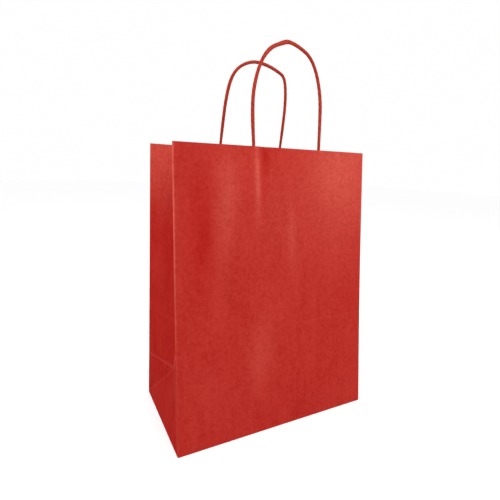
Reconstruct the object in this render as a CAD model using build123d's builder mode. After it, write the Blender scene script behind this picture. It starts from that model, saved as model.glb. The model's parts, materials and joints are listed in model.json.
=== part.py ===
"""Paper carrier gift bag with two twisted-cord handles.

The bag stands on its folded bottom. Its front wall and back wall hinge at their bottom creases,
the two side gussets are folded in towards the mouth, and each handle is a stiff loop of twisted
paper cord whose ends are glued between two paper patches on the inside of its wall.
X runs across the bag, Y from front to back, Z up. The origin is the middle of the base.
"""

import os
from math import cos, radians, sin, sqrt, tan

from build123d import *

# Bag body: one paper sheet, measured along its walls
bag_width = 240.0  # front and back walls, crease to crease
bag_depth = 120.0  # gusset, crease to crease, and depth of the base
wall_length = 310.0  # from the bottom crease to the straight-cut mouth edge
paper = 0.2  # thickness of the bag's paper
crease_radius = 0.6  # outer radius of the bends where the walls turn into the bottom
crease_clearance = 0.1  # between a wall's lower edge and the bend it hinges on
front_lean = 5.5  # degrees that the front wall leans in at rest
back_lean = 1.0  # degrees that the back wall leans in at rest
wall_opens = 8.0  # degrees that the bend leaves free below a wall for it to open outwards

# Bottom, folded and glued from the lower end of the sheet
flap_lap = 15.0  # how far the front flap laps over the back flap
flap_inset = 0.6  # each flap's corner stands this far in from the side crease
tuck_reach = 67.5  # how far each side tuck reaches in from its side crease

# Side gussets
gusset_clearance = 0.3  # between a gusset's edge and the inner face of a wall
heel_push = 15.0  # how far the lower crease point is pressed in from the side crease

# Side seam
seam_width = 18.0  # glued flap along the back wall's right edge
seam_top_gap = 1.0  # the flap ends this far below the mouth edge
seam_base_gap = 3.0  # and this far above the bottom crease

# Handle patches, two paper strips with the cord ends glued between them
patch_width = 146.0
patch_height = 45.0
patch_drop = 2.0  # from the mouth edge to the patch's upper edge
patch_paper = 0.2

# Twisted paper cord
cord_diameter = 3.5
cord_hold = 40.0  # length of each cord end that is glued between the patches
handle_offset = 9.5  # the handles sit this far to the right of the bag's middle
pivot_rise = 3.4  # the cord bends this far above the mouth edge
neck_clearance = 0.05  # between the bending neck and the loop's rounded end
front_handle_tilt = 7.0  # degrees that the front loop leans in at rest
back_handle_tilt = 4.0  # degrees that the back loop leans in at rest

# Loop routes seen from the front: across from the handle's middle, up from the mouth edge.
# The first and last points are the bending points of the two legs.
front_route = [
    (-41.8, pivot_rise),
    (-42.8, 31),
    (-41.5, 58),
    (-35, 84),
    (-18.5, 106.5),
    (3.5, 112),
    (25.5, 108.5),
    (40, 88),
    (45, 60),
    (44.5, 31),
    (42.1, pivot_rise),
]
back_route = [
    (-43.7, pivot_rise),
    (-42.8, 31),
    (-40.1, 58),
    (-34.5, 84),
    (-21.5, 99),
    (2.5, 103.5),
    (24.5, 101),
    (38.5, 88.5),
    (43.3, 60),
    (42.7, 31),
    (41.5, pivot_rise),
]

cord_radius = cord_diameter / 2
half_width = bag_width / 2
half_depth = bag_depth / 2
flap_depth = half_depth + flap_lap / 2
sides = {"front": -1, "back": 1}
lean = {"front": front_lean, "back": back_lean}
tilt = {"front": front_handle_tilt, "back": back_handle_tilt}
route = {"front": front_route, "back": back_route}
flap_level = {"front": 0.0, "back": paper}
tuck_level = 2 * paper
gusset_level = 3 * paper + crease_clearance

os.makedirs("parts", exist_ok=True)


def pivot_plane(side):
    """Plane through a wall's bottom pivot: x across, y up the wall, z out of the bag."""
    sign, angle = sides[side], radians(lean[side])
    return Plane(
        origin=(0, sign * (half_depth - crease_radius), flap_level[side] + crease_radius),
        x_dir=(-sign, 0, 0),
        z_dir=(0, sign * cos(angle), sin(angle)),
    )


def section_plane(side, height):
    """Plane across a wall at a height along it: x across as seen from the front, z up the wall."""
    wall = pivot_plane(side)
    return Plane(
        origin=wall.from_local_coords(Vector(0, height, 0)),
        x_dir=(1, 0, 0),
        z_dir=wall.y_dir,
    )


def into_bag(side, distance):
    """Y on a section plane of a point that lies this far inside the pivot line."""
    return distance if side == "front" else -distance


def leg_places(side):
    """Across positions of the two cord legs at the mouth, from the bag's middle."""
    return [handle_offset + route[side][0][0], handle_offset + route[side][-1][0]]


# Layers of a wall, as distances inwards from its pivot line
wall_inner = paper - crease_radius
patch_inner = wall_inner + patch_paper
cord_centre = patch_inner + cord_radius


def save(part, name):
    """Label a finished piece and write it as its own STEP file."""
    part.label = name
    export_step(part, f"parts/{name}.step")


# Front and back walls: flat sheets with a straight-cut mouth edge
for side in sides:
    with BuildPart() as wall:
        with BuildSketch(pivot_plane(side).offset(crease_radius)):
            with Locations((0, crease_clearance)):
                Rectangle(
                    bag_width,
                    wall_length - crease_clearance,
                    align=(Align.CENTER, Align.MIN),
                )
        extrude(amount=-paper)
    save(wall.part, f"{side}_wall")


# Bottom flaps: each turns up into its wall through a rounded bend that the wall hinges on
for side, sign in sides.items():
    level = flap_level[side]
    bend_y, bend_z = sign * (half_depth - crease_radius), level + crease_radius
    flap_width = bag_width - 2 * flap_inset
    tip_width = flap_width - 2 * (flap_depth - crease_radius)
    with BuildPart() as flap:
        with BuildSketch(Plane.XY.offset(level)):
            with BuildLine():
                Polyline(
                    (-flap_width / 2, bend_y),
                    (flap_width / 2, bend_y),
                    (tip_width / 2, bend_y - sign * (flap_depth - crease_radius)),
                    (-tip_width / 2, bend_y - sign * (flap_depth - crease_radius)),
                    close=True,
                )
            make_face()
        extrude(amount=paper)
        end_angle = radians(-wall_opens)
        out_end = (sign * cos(end_angle), sin(end_angle))
        middle_angle = (end_angle - radians(90)) / 2
        out_middle = (sign * cos(middle_angle), sin(middle_angle))
        inner_radius = crease_radius - paper
        with BuildSketch(Plane(origin=(-flap_width / 2, 0, 0), x_dir=(0, 1, 0), z_dir=(1, 0, 0))):
            with BuildLine():
                ThreePointArc(
                    (bend_y, bend_z - crease_radius),
                    (
                        bend_y + crease_radius * out_middle[0],
                        bend_z + crease_radius * out_middle[1],
                    ),
                    (bend_y + crease_radius * out_end[0], bend_z + crease_radius * out_end[1]),
                )
                Line(
                    (bend_y + crease_radius * out_end[0], bend_z + crease_radius * out_end[1]),
                    (bend_y + inner_radius * out_end[0], bend_z + inner_radius * out_end[1]),
                )
                ThreePointArc(
                    (bend_y + inner_radius * out_end[0], bend_z + inner_radius * out_end[1]),
                    (
                        bend_y + inner_radius * out_middle[0],
                        bend_z + inner_radius * out_middle[1],
                    ),
                    (bend_y, bend_z - inner_radius),
                )
                Line((bend_y, bend_z - inner_radius), (bend_y, bend_z - crease_radius))
            make_face()
        extrude(amount=flap_width)
    save(flap.part, f"bottom_{side}_flap")


# Side tucks: the gussets' lower ends, folded in under the two flaps' inner faces
for name, sign in (("left", -1), ("right", 1)):
    tuck_width = bag_depth - 2 * (crease_radius + flap_inset)
    with BuildPart() as tuck:
        with BuildSketch(Plane.XY.offset(tuck_level)):
            with Locations((sign * (half_width - tuck_reach / 2), 0)):
                Rectangle(tuck_reach, tuck_width)
        extrude(amount=paper)
    save(tuck.part, f"bottom_{name}_tuck")


# Corner points of the right gusset, on the outer face of its paper
def gusset_corner(side, height):
    """Point on the right side crease, just inside a wall, at a height along that wall."""
    depth_in = crease_radius - paper - gusset_clearance
    point = pivot_plane(side).from_local_coords(Vector(0, height, depth_in))
    return Vector(half_width, point.Y, point.Z)


edge_depth = half_depth - paper - gusset_clearance
foot = Vector(half_width, 0, gusset_level)
front_high, back_high = (gusset_corner(side, wall_length) for side in sides)
mouth_middle = (front_high + back_high) / 2
half_mouth = (back_high - front_high).length / 2
fold_in = sqrt((half_depth - gusset_clearance) ** 2 - half_mouth**2)
rise = (mouth_middle - foot).length
dip = (rise**2 + fold_in**2 - wall_length**2) / (2 * rise * fold_in)
fold_top = mouth_middle + Vector(-fold_in * sqrt(1 - dip**2), 0, -fold_in * dip)
heel_height = sqrt(half_depth**2 - heel_push**2)
heel_point = foot + Vector(-heel_push, fold_top.Y * heel_height / wall_length, heel_height)
gusset_points = {
    "front_low": foot - Vector(0, edge_depth, 0),
    "back_low": foot + Vector(0, edge_depth, 0),
    "front_high": front_high,
    "back_high": back_high,
    "heel_point": heel_point,
    "fold_top": fold_top,
}

# Gussets: a heel triangle above the base, then a front and a back half that fold in at the mouth.
# Each half bends lightly along the line from the heel's point up to its mouth corner, so it is
# made as two flat facets: one along the side crease (edge), one along the centre fold (fold).
# Corners run anticlockwise as seen from inside the bag.
gusset_facets = {
    "heel": ("front_low", "heel_point", "back_low"),
    "front_edge": ("front_low", "front_high", "heel_point"),
    "front_fold": ("heel_point", "front_high", "fold_top"),
    "back_edge": ("back_low", "heel_point", "back_high"),
    "back_fold": ("heel_point", "fold_top", "back_high"),
}


def mitre_plane(crease, own_corner, other_corner):
    """Plane through a crease that halves the angle between the facets on its two sides."""
    start, end = (gusset_points[name] for name in crease)
    along = (end - start).normalized()

    def away(corner):
        """Direction square to the crease, towards a facet's third corner."""
        reach = gusset_points[corner] - start
        return (reach - along * reach.dot(along)).normalized()

    return Plane(origin=start, x_dir=along, z_dir=away(own_corner) - away(other_corner))


for name, corners in gusset_facets.items():
    first, second, third = (gusset_points[corner] for corner in corners)
    sheet = Plane(origin=first, x_dir=second - first, z_dir=(second - first).cross(third - first))
    with BuildPart() as right_facet:
        with BuildSketch(sheet):
            with BuildLine():
                Polyline(*(sheet.to_local_coords(p) for p in (first, second, third)), close=True)
            make_face()
        extrude(amount=paper)
        for others in gusset_facets.values():
            crease = [corner for corner in corners if corner in others]
            if len(crease) == 2:
                own, other = (
                    next(corner for corner in facet if corner not in crease)
                    for facet in (corners, others)
                )
                split(bisect_by=mitre_plane(crease, own, other), keep=Keep.TOP)
    with BuildPart() as left_facet:
        mirror(right_facet.part, about=Plane.YZ)
    save(right_facet.part, f"right_gusset_{name}")
    save(left_facet.part, f"left_gusset_{name}")


# Side seam: the flap that closes the sheet into a tube, glued inside the back wall
with BuildPart() as seam:
    back_face = pivot_plane("back").offset(crease_radius - paper)
    with BuildSketch(back_face):
        with Locations((gusset_clearance + paper - half_width, seam_base_gap)):
            Rectangle(
                seam_width,
                wall_length - seam_base_gap - seam_top_gap,
                align=(Align.MIN, Align.MIN),
            )
    extrude(amount=-paper)
save(seam.part, "side_seam_flap")


# Handle patches: a flat one against the wall, and one formed over the two cord ends
for side in sides:
    patch_base = wall_length - patch_drop - patch_height
    with BuildPart() as outer_patch:
        with BuildSketch(section_plane(side, patch_base)):
            with Locations((handle_offset, into_bag(side, wall_inner + patch_paper / 2))):
                Rectangle(patch_width, patch_paper)
        extrude(amount=patch_height)
    save(outer_patch.part, f"{side}_outer_patch")

    with BuildPart() as inner_patch:
        with BuildSketch(section_plane(side, patch_base)):
            with Locations((handle_offset, into_bag(side, patch_inner + patch_paper / 2))):
                Rectangle(patch_width, patch_paper)
            for leg in leg_places(side):
                with Locations((leg, into_bag(side, patch_inner + cord_radius / 2))):
                    Rectangle(cord_diameter + 2 * patch_paper, cord_radius)
                with Locations((leg, into_bag(side, cord_centre))):
                    Circle(cord_radius + patch_paper)
            for leg in leg_places(side):
                with Locations((leg, into_bag(side, patch_inner + cord_radius / 2))):
                    Rectangle(cord_diameter, cord_radius, mode=Mode.SUBTRACT)
                with Locations((leg, into_bag(side, cord_centre))):
                    Circle(cord_radius, mode=Mode.SUBTRACT)
            with Locations((handle_offset, into_bag(side, patch_inner - cord_radius))):
                Rectangle(patch_width, cord_diameter, mode=Mode.SUBTRACT)
        extrude(amount=patch_height)
    save(inner_patch.part, f"{side}_inner_patch")


# Cord ends, glued between the patches up to the mouth edge
for side in sides:
    with BuildPart() as cord_ends:
        with BuildSketch(section_plane(side, wall_length - patch_drop - cord_hold)):
            with Locations(*((leg, into_bag(side, cord_centre)) for leg in leg_places(side))):
                Circle(cord_radius)
        extrude(amount=patch_drop + cord_hold)
    save(cord_ends.part, f"{side}_cord_ends")


# Cord necks, the short lengths above the mouth edge that bend when a loop swings
for side in sides:
    with BuildPart() as cord_necks:
        with BuildSketch(section_plane(side, wall_length)):
            with Locations(*((leg, into_bag(side, cord_centre)) for leg in leg_places(side))):
                Circle(cord_radius)
        extrude(amount=pivot_rise - cord_radius - neck_clearance)
    save(cord_necks.part, f"{side}_cord_necks")


# Handle loops: stiff twisted cord from one bending point over to the other
def corner_radii(points):
    """Radius for each inner corner: 0.45 of its shorter run over the tangent of half its turn."""
    radii = []
    for before, corner, after in zip(points, points[1:], points[2:]):
        coming, going = corner - before, after - corner
        half_turn = radians(coming.get_angle(going)) / 2
        radii.append(0.45 * min(coming.length, going.length) / tan(half_turn))
    return radii


for side, sign in sides.items():
    wall = pivot_plane(side)
    pivot = wall.from_local_coords(Vector(0, wall_length + pivot_rise, -cord_centre))
    angle = radians(tilt[side])
    loop_plane = Plane(
        origin=(handle_offset, pivot.Y, pivot.Z),
        x_dir=(1, 0, 0),
        z_dir=(0, -cos(angle), -sin(angle) * sign),
    )
    points = [Vector(across, up - pivot_rise) for across, up in route[side]]
    radii = corner_radii(points)
    print(side, "loop radii", [round(r, 1) for r in radii])
    with BuildPart() as loop:
        with BuildLine():
            path = FilletPolyline(*(loop_plane.from_local_coords(p) for p in points), radius=radii)
        with BuildSketch(Plane(origin=path @ 0, z_dir=path % 0)):
            Circle(cord_radius)
        sweep(path=path)
        with Locations(path @ 0, path @ 1):
            Sphere(cord_radius)
    print(side, "loop length", round(path.length, 1), "volume", round(loop.part.volume, 1))
    save(loop.part, f"{side}_handle_loop")
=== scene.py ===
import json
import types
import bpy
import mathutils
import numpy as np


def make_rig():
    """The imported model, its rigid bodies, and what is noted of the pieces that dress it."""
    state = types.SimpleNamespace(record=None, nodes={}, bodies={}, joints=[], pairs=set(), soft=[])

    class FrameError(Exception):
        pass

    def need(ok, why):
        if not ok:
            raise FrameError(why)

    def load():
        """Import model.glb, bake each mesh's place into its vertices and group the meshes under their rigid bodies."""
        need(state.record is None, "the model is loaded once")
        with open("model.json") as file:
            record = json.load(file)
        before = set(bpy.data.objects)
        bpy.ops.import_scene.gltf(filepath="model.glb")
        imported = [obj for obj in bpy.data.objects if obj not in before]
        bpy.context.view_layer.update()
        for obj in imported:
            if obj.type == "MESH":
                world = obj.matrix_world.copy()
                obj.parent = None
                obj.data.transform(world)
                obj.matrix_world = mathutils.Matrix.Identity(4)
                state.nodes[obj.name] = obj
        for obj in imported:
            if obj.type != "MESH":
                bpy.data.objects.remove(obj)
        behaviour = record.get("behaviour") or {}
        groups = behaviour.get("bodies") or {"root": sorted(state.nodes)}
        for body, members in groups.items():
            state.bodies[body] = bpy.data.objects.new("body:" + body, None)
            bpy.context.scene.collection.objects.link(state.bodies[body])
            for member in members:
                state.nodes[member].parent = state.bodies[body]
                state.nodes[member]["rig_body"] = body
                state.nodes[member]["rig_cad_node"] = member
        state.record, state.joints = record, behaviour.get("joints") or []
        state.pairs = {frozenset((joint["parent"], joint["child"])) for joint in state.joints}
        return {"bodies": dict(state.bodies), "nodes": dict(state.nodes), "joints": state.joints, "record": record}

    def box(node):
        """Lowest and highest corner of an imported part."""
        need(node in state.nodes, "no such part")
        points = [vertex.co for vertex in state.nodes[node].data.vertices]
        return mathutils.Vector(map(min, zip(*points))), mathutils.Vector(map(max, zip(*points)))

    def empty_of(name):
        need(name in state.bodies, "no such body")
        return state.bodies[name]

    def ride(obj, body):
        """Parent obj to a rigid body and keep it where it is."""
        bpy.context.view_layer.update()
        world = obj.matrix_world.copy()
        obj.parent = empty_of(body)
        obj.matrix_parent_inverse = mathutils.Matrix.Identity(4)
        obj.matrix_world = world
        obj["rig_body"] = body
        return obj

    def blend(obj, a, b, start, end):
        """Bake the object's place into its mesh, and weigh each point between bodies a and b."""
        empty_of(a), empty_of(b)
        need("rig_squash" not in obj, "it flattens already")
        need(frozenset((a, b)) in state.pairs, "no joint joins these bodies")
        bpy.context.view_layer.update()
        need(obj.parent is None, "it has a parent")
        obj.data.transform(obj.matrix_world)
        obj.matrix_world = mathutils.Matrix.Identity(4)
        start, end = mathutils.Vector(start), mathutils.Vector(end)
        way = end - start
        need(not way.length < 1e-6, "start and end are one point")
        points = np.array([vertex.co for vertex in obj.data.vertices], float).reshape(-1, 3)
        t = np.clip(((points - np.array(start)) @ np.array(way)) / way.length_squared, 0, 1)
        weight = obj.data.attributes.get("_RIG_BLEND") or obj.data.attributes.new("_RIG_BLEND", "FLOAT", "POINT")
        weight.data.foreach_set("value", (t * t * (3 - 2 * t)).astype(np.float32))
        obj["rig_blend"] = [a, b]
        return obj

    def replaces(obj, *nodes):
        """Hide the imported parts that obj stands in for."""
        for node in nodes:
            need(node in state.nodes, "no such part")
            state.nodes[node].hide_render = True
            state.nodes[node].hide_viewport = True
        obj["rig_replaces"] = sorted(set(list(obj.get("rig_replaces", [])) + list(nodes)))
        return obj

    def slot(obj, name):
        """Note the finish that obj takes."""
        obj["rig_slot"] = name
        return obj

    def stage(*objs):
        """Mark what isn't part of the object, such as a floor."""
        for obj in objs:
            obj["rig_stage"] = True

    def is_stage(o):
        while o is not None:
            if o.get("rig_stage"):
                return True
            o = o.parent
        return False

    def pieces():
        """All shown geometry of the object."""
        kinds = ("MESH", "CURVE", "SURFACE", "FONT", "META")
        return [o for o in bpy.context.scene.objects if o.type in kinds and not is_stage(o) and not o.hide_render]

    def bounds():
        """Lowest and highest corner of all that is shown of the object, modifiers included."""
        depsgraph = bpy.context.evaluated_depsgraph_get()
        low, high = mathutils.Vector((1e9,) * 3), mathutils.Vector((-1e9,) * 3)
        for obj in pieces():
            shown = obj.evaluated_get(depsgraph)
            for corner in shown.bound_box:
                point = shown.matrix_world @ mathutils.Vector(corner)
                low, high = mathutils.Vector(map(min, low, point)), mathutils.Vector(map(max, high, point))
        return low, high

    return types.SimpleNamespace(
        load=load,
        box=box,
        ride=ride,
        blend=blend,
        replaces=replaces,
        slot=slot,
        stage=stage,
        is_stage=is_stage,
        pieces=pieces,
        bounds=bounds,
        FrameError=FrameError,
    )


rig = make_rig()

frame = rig.load()

import json
import logging
import math
from dataclasses import dataclass, field
from enum import Enum
from typing import Callable, NamedTuple, Sequence

import bmesh
import bpy
import numpy as np
from mathutils import Matrix, Vector, noise

CAD_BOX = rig.bounds()
SIZE_FILE = "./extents.json"
MM = 0.001

log = logging.getLogger("gift_bag")

Points = np.ndarray
Colour = tuple[float, float, float]
Ramp = tuple[float, float, float, float]


class Side(Enum):
    """The two main walls. The value is the wall's direction along Y."""

    FRONT = -1
    BACK = 1

    @property
    def word(self) -> str:
        """The side's name as the CAD nodes and bodies spell it."""
        return self.name.lower()

    @property
    def panel(self) -> str:
        """The CAD body of this side's wall."""
        return f"{self.word}_panel"

    @property
    def handle(self) -> str:
        """The CAD body of this side's handle loop."""
        return f"{self.word}_handle"


class Flank(Enum):
    """The two gusset sides. The value is the direction along X."""

    LEFT = -1
    RIGHT = 1

    @property
    def word(self) -> str:
        """The flank's name as the CAD nodes spell it."""
        return self.name.lower()


class Layer(Enum):
    """Which finish a face of a paper sheet takes."""

    OUTSIDE = 0
    INSIDE = 1
    CUT_EDGE = 2


class Strip(Enum):
    """The two strips of a handle patch. The value is the word in the CAD node's name."""

    OUTER = "outer"
    INNER = "inner"


def joint_place(name: str) -> Sequence[float]:
    """Place of one of the CAD joints."""
    return next(j for j in frame["joints"] if j["name"] == name)["pos_m"]


# ---------------------------------------------------------------------------------------------
# Finishes
# ---------------------------------------------------------------------------------------------


@dataclass
class NodeSheet:
    """A material's node tree, with short ways to add and join nodes."""

    material: bpy.types.Material

    @classmethod
    def named(cls, name: str) -> "NodeSheet":
        """Start an empty node material.

        Args:
            name: The material's name.

        Returns:
            The sheet, holding only a Principled shader and an output.
        """
        material = bpy.data.materials.new(name)
        material.use_nodes = True
        return cls(material)

    @property
    def shader(self) -> bpy.types.Node:
        """The Principled shader."""
        return next(n for n in self.material.node_tree.nodes if n.type == "BSDF_PRINCIPLED")

    def add(self, kind: str, **settings: object) -> bpy.types.Node:
        """Add a node and set its properties and sockets.

        Args:
            kind: The node's class name.
            settings: Properties by name; names ending in an underscore are input sockets.

        Returns:
            The new node.
        """
        node = self.material.node_tree.nodes.new(kind)
        for key, value in settings.items():
            if key.endswith("_"):
                node.inputs[key[:-1].replace("_", " ")].default_value = value
            else:
                setattr(node, key, value)
        return node

    def join(self, source: bpy.types.NodeSocket, target: bpy.types.NodeSocket) -> None:
        """Link two sockets."""
        self.material.node_tree.links.new(source, target)

    def attribute(self, name: str) -> bpy.types.Node:
        """Read a mesh attribute by name."""
        return self.add("ShaderNodeAttribute", attribute_name=name)

    def cloud(self, vector: bpy.types.NodeSocket, size: float, detail: float,
              shrink_up: float = 1.0) -> bpy.types.NodeSocket:
        """Noise between 0 and 1 with cells of a real size.

        Args:
            vector: The sheet coordinate's socket.
            size: A cell's size across the sheet, in metres.
            detail: Octaves of finer noise.
            shrink_up: The coordinate's scale up the sheet; under 1 draws the cells out upwards.

        Returns:
            The noise value's socket.
        """
        mapping = self.add("ShaderNodeMapping", Scale_=(1.0, shrink_up, 1.0))
        self.join(vector, mapping.inputs["Vector"])
        node = self.add("ShaderNodeTexNoise", Scale_=1 / size, Detail_=detail, Roughness_=0.6)
        self.join(mapping.outputs["Vector"], node.inputs["Vector"])
        return node.outputs["Fac"]

    def ramp(self, value: bpy.types.NodeSocket, low: float, high: float,
             start: float = 0.0, end: float = 1.0) -> bpy.types.NodeSocket:
        """Map a value's range low..high onto start..end, held at both ends.

        Args:
            value: The value's socket.
            low: Value that becomes start.
            high: Value that becomes end.
            start: Result at low.
            end: Result at high.

        Returns:
            The mapped value's socket.
        """
        node = self.add("ShaderNodeMapRange", clamp=True, From_Min_=low, From_Max_=high,
                        To_Min_=start, To_Max_=end)
        self.join(value, node.inputs["Value"])
        return node.outputs["Result"]

    def blend_colour(self, amount: bpy.types.NodeSocket, first: object,
                     second: object) -> bpy.types.NodeSocket:
        """Mix two colours, each a socket or three numbers.

        Args:
            amount: Socket of the share of the second colour.
            first: The colour at 0.
            second: The colour at 1.

        Returns:
            The mixed colour's socket.
        """
        node = self.add("ShaderNodeMix", data_type="RGBA")
        self.join(amount, node.inputs[0])
        for socket, colour in ((node.inputs[6], first), (node.inputs[7], second)):
            if isinstance(colour, bpy.types.NodeSocket):
                self.join(colour, socket)
            else:
                socket.default_value = (*colour, 1.0)
        return node.outputs[2]

    def sum_of(self, first: bpy.types.NodeSocket, second: bpy.types.NodeSocket,
               operation: str = "ADD") -> bpy.types.NodeSocket:
        """Combine two values with a math operation.

        Args:
            first: Socket of the first value.
            second: Socket of the second value.
            operation: The math node's operation.

        Returns:
            The result's socket.
        """
        node = self.add("ShaderNodeMath", operation=operation)
        self.join(first, node.inputs[0])
        self.join(second, node.inputs[1])
        return node.outputs[0]

    def scaled(self, value: bpy.types.NodeSocket, factor: float) -> bpy.types.NodeSocket:
        """Multiply a value by a constant.

        Args:
            value: The value's socket.
            factor: The constant.

        Returns:
            The product's socket.
        """
        node = self.add("ShaderNodeMath", operation="MULTIPLY")
        self.join(value, node.inputs[0])
        node.inputs[1].default_value = factor
        return node.outputs[0]

    def bump(self, height: bpy.types.NodeSocket, strength: float, distance: float) -> None:
        """Drive the shader's normal from a height value.

        Args:
            height: Socket of the height, from 0 to 1.
            strength: Share of the relief that shows.
            distance: Height of a full step, in metres.
        """
        node = self.add("ShaderNodeBump", Strength_=strength, Distance_=distance)
        self.join(height, node.inputs["Height"])
        self.join(node.outputs["Normal"], self.shader.inputs["Normal"])


@dataclass(frozen=True)
class KraftPaper:
    """Machine-glazed kraft paper: clouded pulp, fine fibres along the web, worn creases, and painted sheen and shade.

    Each tint is a ramp: the noise's low and high, and the share of thin colour at each.
    """

    name: str
    colour: Colour
    thin_colour: Colour
    worn_colour: Colour
    roughness: tuple[float, float] = (0.54, 0.70)
    specular: float = 0.006
    cloud_size: float = 26 * MM
    fleck_size: float = 3.1 * MM
    fibre_size: float = 0.6 * MM
    streak_size: float = 6.5 * MM
    rib_pitch: float = 1.25 * MM
    cloud_tint: Ramp = (0.34, 0.66, 0.0, 0.36)
    fleck_tint: Ramp = (0.31, 0.69, -0.05, 0.41)
    streak_tint: Ramp = (0.34, 0.66, -0.07, 0.10)
    fibre_tint: Ramp = (0.56, 0.74, 0.0, 0.20)
    rub_breaks: Ramp = (0.25, 0.65, 0.55, 1.0)
    fibre_relief: float = 0.5
    rib_relief: float = 0.16
    fleck_relief: float = 0.8
    relief_strength: float = 0.35
    relief_depth: float = 0.16 * MM

    def material(self) -> bpy.types.Material:
        """Build the node material.

        Returns:
            The finished material.
        """
        sheet = NodeSheet.named(self.name)
        place = sheet.attribute("sheet").outputs["Vector"]
        clouds = sheet.cloud(place, self.cloud_size, 3.0, shrink_up=0.35)
        streaks = sheet.cloud(place, self.streak_size, 2.0, shrink_up=0.16)
        flecks = sheet.cloud(place, self.fleck_size, 4.0, shrink_up=0.95)
        fibres = sheet.cloud(place, self.fibre_size, 3.0, shrink_up=0.30)

        pulp = sheet.sum_of(sheet.ramp(clouds, *self.cloud_tint),
                            sheet.ramp(flecks, *self.fleck_tint))
        pulp = sheet.sum_of(pulp, sheet.ramp(streaks, *self.streak_tint))
        body = sheet.blend_colour(sheet.ramp(pulp, 0.0, 1.0), self.colour, self.thin_colour)
        body = sheet.blend_colour(sheet.ramp(fibres, *self.fibre_tint), body, self.thin_colour)
        # This value holds real crease and fold wear together with painted light: painted sheen and painted highlights
        # raise it towards the lighter worn colour, and painted shade lowers it.
        wear = sheet.attribute("wear").outputs["Fac"]
        rubbed = sheet.sum_of(wear, sheet.ramp(flecks, *self.rub_breaks), "MULTIPLY")
        body = sheet.blend_colour(rubbed, body, self.worn_colour)
        sheet.join(body, sheet.shader.inputs["Base Color"])

        grain = sheet.sum_of(sheet.scaled(clouds, 0.5), sheet.scaled(flecks, 0.5))
        sheet.join(sheet.ramp(grain, 0.35, 0.65, *self.roughness), sheet.shader.inputs["Roughness"])
        sheet.shader.inputs["Specular IOR Level"].default_value = self.specular
        relief = sheet.sum_of(sheet.scaled(fibres, self.fibre_relief),
                              sheet.scaled(self.ribs(sheet, place), self.rib_relief))
        relief = sheet.sum_of(relief, sheet.scaled(flecks, self.fleck_relief))
        sheet.bump(relief, self.relief_strength, self.relief_depth)
        return sheet.material

    def ribs(self, sheet: NodeSheet, place: bpy.types.NodeSocket) -> bpy.types.NodeSocket:
        """Fine upright ribs that the paper machine leaves.

        Args:
            sheet: The material's nodes.
            place: Socket of the sheet coordinates.

        Returns:
            Socket of the ribs' height, from 0 to 1.
        """
        node = sheet.add("ShaderNodeTexWave", wave_type="BANDS", bands_direction="X",
                         wave_profile="SIN", Scale_=math.tau / 20 / self.rib_pitch,
                         Distortion_=1.6, Detail_=2.0, Detail_Scale_=0.4)
        sheet.join(place, node.inputs["Vector"])
        return node.outputs["Fac"]


@dataclass(frozen=True)
class TwistedPaper:
    """Paper strip twisted tight into a cord, with painted shade in the grooves: the darker groove colour deep in them
    and the ridge colour on top.
    """

    name: str
    ridge: Colour
    groove: Colour
    roughness: tuple[float, float] = (0.42, 0.62)
    specular: float = 0.08
    line_size: float = 0.5 * MM
    patch_size: float = 9 * MM
    line_shade: Ramp = (0.40, 0.75, -0.12, 0.30)
    patch_shade: Ramp = (0.35, 0.65, -0.14, 0.14)
    relief_strength: float = 0.4
    relief_depth: float = 0.12 * MM

    def material(self) -> bpy.types.Material:
        """Build the node material.

        Returns:
            The finished material.
        """
        sheet = NodeSheet.named(self.name)
        place = sheet.attribute("sheet").outputs["Vector"]
        lines = sheet.cloud(place, self.line_size, 3.0, shrink_up=0.12)
        patches = sheet.cloud(place, self.patch_size, 3.0)
        # The groove depth from the mesh paints shade into the grooves.
        depth = sheet.attribute("wear").outputs["Fac"]
        shade = sheet.sum_of(depth, sheet.ramp(lines, *self.line_shade))
        shade = sheet.sum_of(shade, sheet.ramp(patches, *self.patch_shade))
        colour = sheet.blend_colour(sheet.ramp(shade, 0.0, 1.0), self.ridge, self.groove)
        sheet.join(colour, sheet.shader.inputs["Base Color"])
        sheet.join(sheet.ramp(lines, 0.3, 0.7, *self.roughness), sheet.shader.inputs["Roughness"])
        sheet.shader.inputs["Specular IOR Level"].default_value = self.specular
        relief = sheet.sum_of(lines, sheet.scaled(patches, 0.4))
        sheet.bump(relief, self.relief_strength, self.relief_depth)
        return sheet.material


@dataclass(frozen=True)
class StudioSurface:
    """Plain matt surface for the floor."""

    name: str
    colour: Colour
    roughness: float = 0.9
    specular: float = 0.1

    def material(self) -> bpy.types.Material:
        """Build the plain material.

        Returns:
            The finished material.
        """
        sheet = NodeSheet.named(self.name)
        sheet.shader.inputs["Base Color"].default_value = (*self.colour, 1.0)
        sheet.shader.inputs["Roughness"].default_value = self.roughness
        sheet.shader.inputs["Specular IOR Level"].default_value = self.specular
        return sheet.material


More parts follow.
